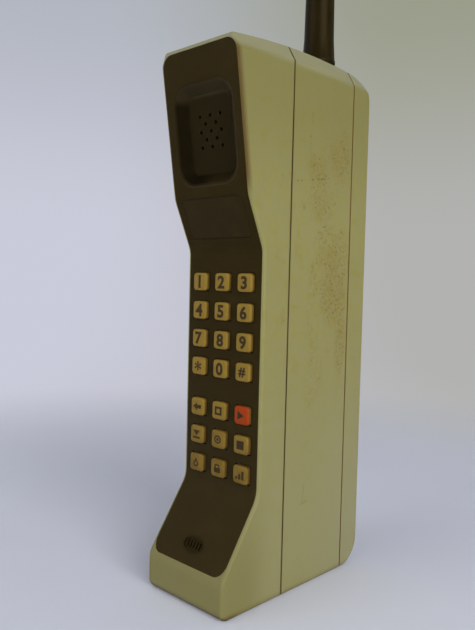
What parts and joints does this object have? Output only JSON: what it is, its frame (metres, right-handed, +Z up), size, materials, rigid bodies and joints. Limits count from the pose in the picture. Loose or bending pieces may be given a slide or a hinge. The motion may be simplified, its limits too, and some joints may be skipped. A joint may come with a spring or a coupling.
{
  "type": "handheld cellular telephone",
  "caption": "Brick-shaped handheld cellular telephone that stands on its base, with a sprung keypad, dished earpiece, display strip, clip-off battery slab and screwed rubber antenna.",
  "frame": {"origin": "middle of the base, on the surface it stands on", "axes": "+Z up along the body and antenna, the keypad faces -Y, +X across the front to the viewer's right"},
  "size_m": [0.0444, 0.0888, 0.33],
  "materials": {
    "shell_plastic": "fine textured moulding, yellowed beige",
    "cover_plastic": "plain moulding",
    "panel_plastic": "satin dark brown",
    "window_plastic": "smoked, polished",
    "display_parts": "dark red lenses on a board",
    "speaker_metal": "plated",
    "soft_rubber": "matt",
    "circuit_board": "lacquered",
    "screen_metal": "tinned sheet",
    "ceramic": "silvered ceramic",
    "dark_plastic": "plain",
    "ribbon_film": "amber film",
    "steel": "zinc plated",
    "brass": "bright",
    "cell_can": "shrink sleeve over steel cans",
    "antenna_rubber": "satin black",
    "key_plastic": "satin amber cream",
    "send_key_plastic": "satin orange red"
  },
  "bodies": {
    "handset": {"front_housing": "shell_plastic", "rear_housing": "shell_plastic", "face_panel": "panel_plastic", "display_window": "window_plastic", "display_module": "display_parts", "earpiece_speaker": "speaker_metal", "speaker_ring": "soft_rubber", "microphone": "speaker_metal", "microphone_boot": "soft_rubber", "keypad_mat": "soft_rubber", "keypad_board": "circuit_board", "logic_board": "circuit_board", "radio_board": "circuit_board", "shield_can": "screen_metal", "duplexer": "ceramic", "ringer": "dark_plastic", "ribbon_cable": "ribbon_film", "board_screws": "steel", "housing_screws": "steel", "board_spacers": "brass", "phone_contacts": "brass", "antenna_socket": "brass"},
    "antenna": {"antenna_sheath": "antenna_rubber", "antenna_core": "brass"},
    "battery_pack": {"battery_shell": "shell_plastic", "battery_cover": "cover_plastic", "battery_contacts": "brass", "battery_cells": "cell_can"},
    "latch": {"latch_button": "shell_plastic", "latch_spring": "steel"},
    "key_1": {"key_1": "key_plastic"},
    "key_2": {"key_2": "key_plastic"},
    "key_3": {"key_3": "key_plastic"},
    "key_4": {"key_4": "key_plastic"},
    "key_5": {"key_5": "key_plastic"},
    "key_6": {"key_6": "key_plastic"},
    "key_7": {"key_7": "key_plastic"},
    "key_8": {"key_8": "key_plastic"},
    "key_9": {"key_9": "key_plastic"},
    "key_star": {"key_star": "key_plastic"},
    "key_0": {"key_0": "key_plastic"},
    "key_hash": {"key_hash": "key_plastic"},
    "key_recall": {"key_recall": "key_plastic"},
    "key_clear": {"key_clear": "key_plastic"},
    "key_send": {"key_send": "send_key_plastic"},
    "key_store": {"key_store": "key_plastic"},
    "key_function": {"key_function": "key_plastic"},
    "key_end": {"key_end": "key_plastic"},
    "key_power": {"key_power": "key_plastic"},
    "key_lock": {"key_lock": "key_plastic"},
    "key_volume": {"key_volume": "key_plastic"}
  },
  "joints": [
    {"name": "key_1_press", "type": "slide", "parent": "handset", "child": "key_1", "axis": [0, 1, 0], "range_m": [0, 0.001], "stiffness_N_per_m": 700, "springref_m": -0.0008},
    {"name": "key_2_press", "type": "slide", "parent": "handset", "child": "key_2", "axis": [0, 1, 0], "range_m": [0, 0.001], "stiffness_N_per_m": 700, "springref_m": -0.0008},
    {"name": "key_3_press", "type": "slide", "parent": "handset", "child": "key_3", "axis": [0, 1, 0], "range_m": [0, 0.001], "stiffness_N_per_m": 700, "springref_m": -0.0008},
    {"name": "key_4_press", "type": "slide", "parent": "handset", "child": "key_4", "axis": [0, 1, 0], "range_m": [0, 0.001], "stiffness_N_per_m": 700, "springref_m": -0.0008},
    {"name": "key_5_press", "type": "slide", "parent": "handset", "child": "key_5", "axis": [0, 1, 0], "range_m": [0, 0.001], "stiffness_N_per_m": 700, "springref_m": -0.0008},
    {"name": "key_6_press", "type": "slide", "parent": "handset", "child": "key_6", "axis": [0, 1, 0], "range_m": [0, 0.001], "stiffness_N_per_m": 700, "springref_m": -0.0008},
    {"name": "key_7_press", "type": "slide", "parent": "handset", "child": "key_7", "axis": [0, 1, 0], "range_m": [0, 0.001], "stiffness_N_per_m": 700, "springref_m": -0.0008},
    {"name": "key_8_press", "type": "slide", "parent": "handset", "child": "key_8", "axis": [0, 1, 0], "range_m": [0, 0.001], "stiffness_N_per_m": 700, "springref_m": -0.0008},
    {"name": "key_9_press", "type": "slide", "parent": "handset", "child": "key_9", "axis": [0, 1, 0], "range_m": [0, 0.001], "stiffness_N_per_m": 700, "springref_m": -0.0008},
    {"name": "key_star_press", "type": "slide", "parent": "handset", "child": "key_star", "axis": [0, 1, 0], "range_m": [0, 0.001], "stiffness_N_per_m": 700, "springref_m": -0.0008},
    {"name": "key_0_press", "type": "slide", "parent": "handset", "child": "key_0", "axis": [0, 1, 0], "range_m": [0, 0.001], "stiffness_N_per_m": 700, "springref_m": -0.0008},
    {"name": "key_hash_press", "type": "slide", "parent": "handset", "child": "key_hash", "axis": [0, 1, 0], "range_m": [0, 0.001], "stiffness_N_per_m": 700, "springref_m": -0.0008},
    {"name": "key_recall_press", "type": "slide", "parent": "handset", "child": "key_recall", "axis": [0, 1, 0], "range_m": [0, 0.001], "stiffness_N_per_m": 700, "springref_m": -0.0008},
    {"name": "key_clear_press", "type": "slide", "parent": "handset", "child": "key_clear", "axis": [0, 1, 0], "range_m": [0, 0.001], "stiffness_N_per_m": 700, "springref_m": -0.0008},
    {"name": "key_send_press", "type": "slide", "parent": "handset", "child": "key_send", "axis": [0, 1, 0], "range_m": [0, 0.001], "stiffness_N_per_m": 700, "springref_m": -0.0008},
    {"name": "key_store_press", "type": "slide", "parent": "handset", "child": "key_store", "axis": [0, 1, 0], "range_m": [0, 0.001], "stiffness_N_per_m": 700, "springref_m": -0.0008},
    {"name": "key_function_press", "type": "slide", "parent": "handset", "child": "key_function", "axis": [0, 1, 0], "range_m": [0, 0.001], "stiffness_N_per_m": 700, "springref_m": -0.0008},
    {"name": "key_end_press", "type": "slide", "parent": "handset", "child": "key_end", "axis": [0, 1, 0], "range_m": [0, 0.001], "stiffness_N_per_m": 700, "springref_m": -0.0008},
    {"name": "key_power_press", "type": "slide", "parent": "handset", "child": "key_power", "axis": [0, 1, 0], "range_m": [0, 0.001], "stiffness_N_per_m": 700, "springref_m": -0.0008},
    {"name": "key_lock_press", "type": "slide", "parent": "handset", "child": "key_lock", "axis": [0, 1, 0], "range_m": [0, 0.001], "stiffness_N_per_m": 700, "springref_m": -0.0008},
    {"name": "key_volume_press", "type": "slide", "parent": "handset", "child": "key_volume", "axis": [0, 1, 0], "range_m": [0, 0.001], "stiffness_N_per_m": 700, "springref_m": -0.0008},
    {"name": "latch_press", "type": "slide", "parent": "handset", "child": "latch", "axis": [0, 0, -1], "range_m": [0, 0.0015], "stiffness_N_per_m": 1500, "springref_m": -0.0015, "deforming": ["latch_spring"]},
    {"name": "battery_lift_off", "type": "slide", "parent": "handset", "child": "battery_pack", "axis": [0, 1, 0], "range_m": [0, 0.03]},
    {"name": "antenna_screw", "type": "hinge", "parent": "handset", "child": "antenna", "pos_m": [0.012, 0.018, 0.2246], "axis": [0, 0, 1], "continuous": true}
  ]
}
